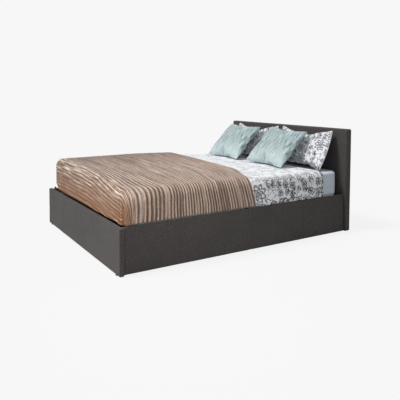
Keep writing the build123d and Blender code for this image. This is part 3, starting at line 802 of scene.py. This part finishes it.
# Mattress and fitted sheet
def plan_ring(low, high, corner, inset, z, steps=10, side_steps=24):
    """A level ring of points: a rounded rectangle between two corners, drawn in by inset."""
    radius = max(corner - inset, least_corner)
    x_low, x_high = low.x + inset + radius, high.x - inset - radius
    y_low, y_high = low.y + inset + radius, high.y - inset - radius
    centres = ((x_high, y_high), (x_low, y_high), (x_low, y_low), (x_high, y_low))
    ring = []
    for number, (cx, cy) in enumerate(centres):
        for step in range(steps + 1):
            angle = pi / 2 * (number + step / steps)
            ring.append(Vector((cx + radius * cos(angle), cy + radius * sin(angle), z)))
        next_x, next_y = centres[(number + 1) % 4]
        last = ring[-1]
        shift = Vector((next_x - cx, next_y - cy, 0))
        for step in range(1, side_steps):
            ring.append(last + shift * step / side_steps)
    return ring


def ring_solid(name, rings, cap_first, cap_last):
    """A surface through level rings, with its ends closed where asked."""
    size = len(rings[0])
    points = [point for ring in rings for point in ring]
    faces = []
    for row in range(len(rings) - 1):
        for number in range(size):
            first = row * size + number
            after = row * size + (number + 1) % size
            faces.append((first, after, after + size, first + size))
    if cap_first:
        faces.append(list(range(size))[::-1])
    if cap_last:
        faces.append([(len(rings) - 1) * size + number for number in range(size)])
    return mesh_piece(name, points, faces)


def quarter_round(edge, steps):
    """The inset and rise of each level of a rounded edge, from its face out to its side."""
    angles = [pi / 2 * step / steps for step in range(steps + 1)]
    return [(edge * (1 - sin(angle)), edge * (1 - cos(angle))) for angle in angles]


def make_mattress():
    """The mattress: a quilted block with a taped edge round its top and bottom."""
    low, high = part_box("mattress")
    edge = mattress_edge
    levels = quarter_round(edge, mattress_edge_steps)
    places = [(inset, low.z) for inset in mattress_cap_insets]
    places += [(inset, low.z + rise) for inset, rise in levels]
    for share in mattress_side_shares:
        places.append((mattress_bulge * (2 * share - 1) ** 2, low.z + (high.z - low.z) * share))
    places += [(inset, high.z - rise) for inset, rise in reversed(levels)]
    places += [(inset, high.z) for inset in reversed(mattress_cap_insets)]
    rings = [plan_ring(low, high, mattress_corner, inset, z) for inset, z in places]
    mattress = ring_solid("mattress_body", rings, True, True)
    dress(mattress, "platform", "mattress_fabric", ["mattress"])
    for level_name, z in (("lower", low.z + edge), ("upper", high.z - edge - tape_drop)):
        tube = []
        for turn in range(tape_steps + 1):
            angle = 2 * pi * turn / tape_steps
            inset = tape_sunk - tape_out * cos(angle)
            tube.append(plan_ring(low, high, mattress_corner, inset, z + tape_half * sin(angle)))
        tape = ring_solid(f"mattress_tape_{level_name}", tube, False, False)
        dress(tape, "platform", "mattress_fabric", look="sheet_cotton")


def make_fitted_sheet():
    """The fitted sheet: tight on top, gathered by its elastic under the mattress edge."""
    low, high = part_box("fitted_sheet")
    edge = mattress_edge + sheet_out
    corner = mattress_corner + sheet_out
    height = high.z - edge - low.z
    rings = []
    for step in range(sheet_rows + 1):
        share = step / sheet_rows
        z = low.z + height * share
        ring = plan_ring(low, high, corner, 0.0, z, **sheet_ring_steps)
        for number, point in enumerate(ring):
            gather = sheet_gather * (sin(number * 1.9) * (1 - share) ** 2 - 1)
            wrinkle = wander((point.x, point.y, point.z * 0.6), 13, 4.4) * share * (1 - share) * 4
            spine = Vector((0, clamp(point.y, low.y + sheet_spine_gap, high.y - sheet_spine_gap), z))
            ring[number] = point + (point - spine).normalized() * (gather + sheet_crease * wrinkle)
        rings.append(ring)
    levels = quarter_round(edge, sheet_edge_steps)[:-1]
    places = [(inset, high.z - rise) for inset, rise in reversed(levels)]
    places += [(inset, high.z) for inset in sheet_cap_insets]
    rings += [plan_ring(low, high, corner, inset, z, **sheet_ring_steps) for inset, z in places]
    sheet = ring_solid("fitted_sheet_cloth", rings, False, True)
    thicken(sheet, sheet_cloth)
    dress(sheet, "platform", "sheet_cotton", ["fitted_sheet"])


# Bedding that drapes over the mattress
def crown(y):
    """How far the far side of the bedding rises over the near side at this Y."""
    if y <= crown_places[0][0]:
        return crown_rise
    for (start, high), (finish, low) in zip(crown_places, crown_places[1:]):
        if y <= finish:
            return crown_rise * (high + (low - high) * (y - start) / (finish - start))
    return 0


def crown_share(x, form):
    """The share of the crown's rise that the bedding has at this X."""
    share = clamp(0.5 - 0.5 * x / (form["half"] - form["round"]), 0, 1)
    return 2 * crown_lead * share * (1 - share) + share * share


def drape_form(low, high, radius, hem, foot_hem):
    """The sizes of a cloth that lies over the bed and hangs to its hems."""
    form = {"half": high.x, "head": high.y, "foot": low.y, "top": high.z - crown_rise}
    form["round"] = radius
    turn = radius * pi / 2
    form["cloth_half"] = form["half"] - radius + turn + form["top"] - radius - hem
    form["cloth_length"] = form["head"] - form["foot"] - radius + turn + form["top"] - radius - foot_hem
    form["hem"] = hem
    form["foot_hem"] = foot_hem
    return form


def hem_height(x, y, form):
    """The hem: level at the near side, a little lower at the foot, raised at the hinge side."""
    raised = smooth_step(y - form["foot"], *hem_rise_reach)
    level = form["foot_hem"] + (form["hem"] - form["foot_hem"]) * raised
    return level + (far_hem - level) * smooth_step(-x, hem_bend, hem_bend + hem_bend_reach)


def drape(u, v, form):
    """A point of cloth laid over the bed, its outward normal, and its share of the way down a side.

    u runs from the head end towards the foot and over its edge, v across from the middle."""
    side = 1 if v >= 0 else -1
    radius = form["round"]
    flat_length = form["head"] - form["foot"] - radius
    growth = 0.0
    if side > 0:
        growth = near_corner_growth * (1 - smooth_step(flat_length - u, 0, near_corner_reach))
    flat_half = form["half"] - radius - growth
    along = max(0.0, u - flat_length)
    across = max(0.0, abs(v) - flat_half)
    angle = atan2(along, across)
    depth = (along**4 + across**4) ** 0.25
    side_reach = (form["cloth_half"] - flat_half) / max(cos(angle), 1e-6)
    foot_reach = (form["cloth_length"] - flat_length) / max(sin(angle), 1e-6)
    rim = min(side_reach, foot_reach) * (cos(angle) ** 4 + sin(angle) ** 4) ** 0.25
    bend_radius = radius + growth * cos(angle) ** 2
    turn = bend_radius * pi / 2
    bend = min(depth / bend_radius, pi / 2)
    out = bend_radius * sin(bend)
    x = side * (min(abs(v), flat_half) + out * cos(angle))
    y = form["head"] - min(u, flat_length) - out * sin(angle)
    top = form["top"] + crown(y) * crown_share(x, form)
    shoulder = top - bend_radius * (1 - cos(bend))
    hanging = clamp((depth - turn) / (rim - turn), 0, 1)
    z = shoulder + (hem_height(x, y, form) - shoulder) * hanging
    normal = Vector((side * cos(angle) * sin(bend), -sin(angle) * sin(bend), cos(bend)))
    return Vector((x, y, z)), normal, hanging


def make_duvet():
    """The duvet: a soft quilt over the sheet, printed, hanging to the rails on three sides."""
    low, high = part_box("duvet")
    hem = low.z + duvet_hem_gap
    form = drape_form(low, high, duvet_round, hem, hem)
    rows = round(form["cloth_length"] / duvet_step)
    columns = round(2 * form["cloth_half"] / duvet_step)
    lofts = []

    def place(row, column):
        u = form["cloth_length"] * row / rows
        v = form["cloth_half"] * (1 - 2 * column / columns)
        point, normal, hanging = drape(u, v, form)
        level = clamp(normal.z, 0, 1)
        flat = Vector((u, v, 0))
        puff = sum(share * wander(flat, scale, seed) for share, scale, seed in duvet_puffs)
        wave = duvet_wave * wander((u, v * 0.35, 0), 9, 8.8) * hanging
        slack = duvet_slack + duvet_top_slack * level
        head_sunk = duvet_head_sunk * (1 - smooth_step(u, 0, duvet_head_reach))
        sunk = slack * (1.1 - clamp(puff + wave, -1, 1)) + head_sunk
        room = duvet_side_room + (duvet_top_room - duvet_side_room) * level
        rise = crown(point.y) * crown_share(point.x, form) * level
        loft = clamp(room + rise - sunk - duvet_sheet_gap, duvet_least_loft, duvet_loft)
        lofts.append(loft / duvet_loft)
        covered_hem = duvet_tuck * smooth_step(duvet_tuck_from - point.y, 0, duvet_tuck_reach)
        point.z += covered_hem * hanging**2
        return point - normal * sunk, (u, v)

    duvet = grid_piece("duvet_quilt", rows, columns, place)
    group = duvet.vertex_groups.new(name="loft")
    for number, share in enumerate(lofts):
        group.add([number], share, "REPLACE")
    thicken(duvet, duvet_loft).modifiers["cloth thickness"].vertex_group = "loft"
    dress(duvet, "platform", "duvet_cotton", ["duvet"])


def throw_edge(v):
    """How far the throw's head edge lies from its mean line, towards the head."""
    return sum(shift * smooth_step(side * v, *reach) for shift, side, reach in throw_edge_shifts)


def corner_folds(u, v, form):
    """Folds of the throw that run down at the near foot corner, where its cloth is gathered."""
    corner_u = form["head"] - form["foot"] - form["round"]
    corner_v = form["half"] - form["round"] - near_corner_growth
    off_u, off_v = u - corner_u, v - corner_v
    if off_u <= 0 or off_v <= 0:
        return 0
    angle = atan2(off_u, off_v)
    reach = smooth_step(hypot(off_u, off_v), *fold_reach)
    inside = smooth_step(angle, *fold_start) * (1 - smooth_step(angle, *fold_end))
    return reach * inside * (0.5 + 0.5 * cos(angle * folds_per_turn))


def throw_places(form):
    """Places across the throw, from its near hem to its far one: closest where it bends."""
    flat = form["half"] - form["round"] - near_corner_growth
    bent = flat + (form["round"] + near_corner_growth) * pi / 2
    stretches = ((0, flat, throw_flat_steps), (flat, bent, throw_bend_steps))
    stretches += ((bent, form["cloth_half"], throw_hang_steps),)
    side = []
    for start, finish, steps in stretches:
        side += [start + (finish - start) * number / steps for number in range(1, steps + 1)]
    return side[::-1] + [0] + [-place for place in side]


def make_throw():
    """The throw: sewn pleats across the foot half, down both sides and over the foot end."""
    low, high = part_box("throw")
    form = drape_form(low, high, throw_round, throw_hem, throw_foot_hem)
    rows = round(form["cloth_length"] / throw_step)
    across = throw_places(form)
    foot_turn = form["head"] - form["foot"] - throw_round

    def place(row, column):
        u = form["cloth_length"] * row / rows
        v = across[column]
        point, normal, _ = drape(u, v, form)
        slip = throw_edge(v) * (1 - smooth_step(u, 0, throw_slip_reach))
        slip += throw_wander * wander((u, v, 0), 5, 1.1)
        if u < foot_turn:
            point.y += slip * (1 - smooth_step(u, *throw_slip_end))
        swept = smooth_step(u, foot_turn - throw_sweep_before, foot_turn + throw_sweep_after)
        sweep = throw_sweep * smooth_step(v, *throw_sweep_across) * swept
        sewn = u - sweep + rib_wander * wander((u * 0.6, v * 2.5, 0), 6, 3.9)
        wave = 0.5 + 0.5 * cos(2 * pi * sewn / rib_pitch)
        rib = rib_height * (wave**1.4 - 1)
        crinkle = throw_crinkle * wander((u * 1.5, v * 4, 0), 16, 2.4)
        fold = throw_fold * corner_folds(u, v, form)
        point += normal * (rib + crinkle + fold - throw_sunk)
        return point, (sewn, v)

    throw = grid_piece("pleated_throw", rows, len(across) - 1, place)
    thicken(throw, throw_cloth)
    dress(throw, "platform", "throw_satin", ["throw"])


# Pillows and cushions: two layers of cloth sewn round the edge and filled
def sewn_pad(name, width, height, thickness, pressure):
    """A filled pad at the origin, width in X, height in Z, its front towards -Y."""
    columns = round(width / pad_grid)
    rows = round(height / pad_grid)
    points = []
    cloth = []
    number_of = {}
    for layer, side in ((0, -1), (1, 1)):
        for row in range(rows + 1):
            for column in range(columns + 1):
                if layer == 1 and (row in (0, rows) or column in (0, columns)):
                    number_of[layer, row, column] = number_of[0, row, column]
                    continue
                a = 2 * column / columns - 1
                b = 2 * row / rows - 1
                bulge = thickness * pad_start_bulge * (1 - a**4) * (1 - b**4)
                number_of[layer, row, column] = len(points)
                x = a * width / 2 * (1 + pad_cut_curve * (1 - b * b))
                z = b * height / 2 * (1 + pad_cut_curve * (1 - a * a))
                points.append(Vector((x, side * bulge, z)))
                cloth.append((a * width / 2 + pad_back_offset * layer, b * height / 2))
    faces = []
    for layer in (0, 1):
        for row in range(rows):
            for column in range(columns):
                corners = ((row, column), (row, column + 1), (row + 1, column + 1), (row + 1, column))
                quad = [number_of[layer, i, j] for i, j in corners]
                faces.append(quad if layer == 0 else quad[::-1])
    pad = mesh_piece(name, points, faces, cloth)
    cloth_fill(pad, pressure)
    mesh = pad.data
    extent = [max(abs(vertex.co[axis]) for vertex in mesh.vertices) for axis in range(3)]
    target = (width / 2, thickness / 2, height / 2)
    for vertex in mesh.vertices:
        vertex.co = [vertex.co[axis] * target[axis] / extent[axis] for axis in range(3)]
    return pad


def cloth_fill(pad, pressure):
    """Blows the pad up by a short cloth simulation and keeps the result as its mesh."""
    cloth = pad.modifiers.new("filling", "CLOTH")
    for name, value in cloth_settings.items():
        setattr(cloth.settings, name, value)
    cloth.settings.uniform_pressure_force = pressure
    cloth.settings.effector_weights.gravity = 0
    cloth.point_cache.frame_start = 1
    cloth.point_cache.frame_end = pad_frames
    for step in range(1, pad_frames + 1):
        scene.frame_set(step)
    filled = pad.evaluated_get(bpy.context.evaluated_depsgraph_get())
    mesh = bpy.data.meshes.new_from_object(filled)
    pad.modifiers.remove(cloth)
    pad.data = mesh
    scene.frame_set(1)


def rest_pad(pad, node, lean, roll, seat, wall):
    """Leans the pad in its node's place; it flattens where it meets the bed and what is behind it."""
    low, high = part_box(node)
    centre = (low + high) / 2
    pose = Euler((-radians(lean), 0, 0)).to_matrix() @ Euler((0, radians(roll), 0)).to_matrix()
    for vertex in pad.data.vertices:
        point = pose @ vertex.co + centre
        sunk = seat + pad_seat_reach - point.z
        if sunk > 0:
            point.z = seat + pad_seat_reach * 0.5 ** (1 + sunk / pad_seat_reach)
        pressed = point.y - wall + pad_wall_reach
        if pressed > 0:
            point.y = wall - pad_wall_reach * 0.5 ** (pressed / pad_wall_reach)
        vertex.co = point


def make_pads():
    """Two printed pillows against the headboard, two slubbed cushions in front of them."""
    seats = {"pillow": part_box("fitted_sheet")[1].z, "cushion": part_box("duvet")[1].z - crown_rise}
    walls = {"pillow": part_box("headboard_cover")[0].y, "cushion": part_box("near_cushion")[1].y}
    for node, roll in pad_rolls.items():
        kind = node.split("_")[1]
        form = pad_forms[kind]
        pad = sewn_pad(f"{node}_pad", *form["size"], form["pressure"])
        rest_pad(pad, node, form["lean"], roll, seats[kind], walls[kind] - pad_wall_gap)
        smooth = pad.modifiers.new("smooth", "SUBSURF")
        smooth.levels = 1
        smooth.render_levels = 1
        dress(pad, "platform", form["slot"], [node])


def make_strap():
    """The pull strap: webbing folded into a loop at the middle of the lifting side."""
    low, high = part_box("lift_strap")
    size = high - low

    def place(row, column):
        way = 2 * size.z * row / strap_rows
        y = high.y - size.y * column / strap_columns
        x = low.x + size.x * (0.25 if way < size.z else 0.75)
        return Vector((x, y, high.z - abs(way - size.z))), (way, y)

    strap = thicken(grid_piece("pull_strap", strap_rows, strap_columns, place), strap_cloth)
    dress(strap, "platform", "webbing", ["lift_strap"])


make_covers()
make_lining()
make_mattress()
make_fitted_sheet()
make_duvet()
make_throw()
make_pads()
make_strap()


# Camera, lamps, sky and floor
def make_camera():
    """The photograph's viewpoint."""
    lens = bpy.data.cameras.new("camera")
    lens.sensor_width = sensor_width
    lens.lens = focal_pixels / frame_pixels * sensor_width
    lens.shift_x = (frame_pixels / 2 - centre_pixels[0]) / frame_pixels
    lens.shift_y = (centre_pixels[1] - frame_pixels / 2) / frame_pixels
    camera = new_object("camera", lens)
    camera.location = camera_place
    camera.rotation_euler = camera_turn
    scene.camera = camera


def seen_directly(tree):
    """1 for rays from the camera, mirrors and glass, else 0."""
    path = add_node("LightPath", tree=tree)
    seen = maths("MAXIMUM", path.outputs["Is Camera Ray"], path.outputs["Is Glossy Ray"])
    return maths("MAXIMUM", seen, path.outputs["Is Transmission Ray"])


def shown_apart(tree, lighting, shown, output):
    """One shader lights the scene and the other is what the camera sees."""
    pairs = [(0, seen_directly(tree)), (1, lighting.outputs[0]), (2, shown.outputs[0])]
    mix = add_node("MixShader", pairs)
    tree.links.new(mix.outputs[0], tree.nodes[output].inputs["Surface"])


def make_world():
    """Even light from all round, and the flat pale background that the camera sees."""
    world = bpy.data.worlds.new("studio")
    world.use_nodes = True
    tree = world.node_tree
    light = tree.nodes["Background"]
    set_inputs(light, {"Color": (1, 1, 1, 1), "Strength": sky_strength})
    shown = add_node("Background", [("Color", colour(*backdrop)), ("Strength", 1.0)], tree)
    shown_apart(tree, light, shown, "World Output")
    scene.world = world


def make_floor():
    """A wide pale floor that keeps a faint shadow of the bed."""
    corners = [(x * floor_half, y * floor_half, 0) for x, y in ((-1, -1), (1, -1), (1, 1), (-1, 1))]
    floor = mesh_piece("floor", corners, [(0, 1, 2, 3)])
    made = bpy.data.materials.new("pale floor")
    made.use_nodes = True
    tree = made.node_tree
    tree.nodes.remove(tree.nodes["Principled BSDF"])
    lit_level = sky_strength + key_strength * key_way.normalized().z / pi
    glow = colour(*backdrop)[0] - floor_share * lit_level
    bounce = add_node("BsdfDiffuse", [("Color", (floor_bounce,) * 3 + (1,))], tree)
    shadowed = add_node("BsdfDiffuse", [("Color", (floor_share,) * 3 + (1,))], tree)
    even = add_node("Emission", [("Color", (1, 1, 1, 1)), ("Strength", glow)], tree)
    shown = add_node("AddShader", [(0, shadowed.outputs[0]), (1, even.outputs[0])])
    shown_apart(tree, bounce, shown, "Material Output")
    floor.data.materials.append(made)


def place_lamp(lamp, place, way):
    """Puts a lamp in the scene, shining along the given way."""
    holder = new_object(lamp.name, lamp)
    holder.location = place
    holder.rotation_mode = "QUATERNION"
    holder.rotation_quaternion = way.to_track_quat("-Z", "Y")


def make_key():
    """One large soft lamp from the foot end's far side."""
    lamp = bpy.data.lights.new("key", "SUN")
    lamp.energy = key_strength
    lamp.angle = radians(key_softness)
    place_lamp(lamp, (0, 0, 0), -key_way)


def make_fill():
    """A soft-edged lamp on the near side of the foot end; it leaves the head end darker."""
    lamp = bpy.data.lights.new("fill", "SPOT")
    lamp.energy = fill_power
    lamp.spot_size = radians(fill_spread)
    lamp.spot_blend = 1.0
    lamp.shadow_soft_size = fill_size
    place_lamp(lamp, fill_place, fill_aim - fill_place)


make_camera()
make_world()
make_floor()
make_key()
make_fill()
scene.view_settings.view_transform = "Standard"
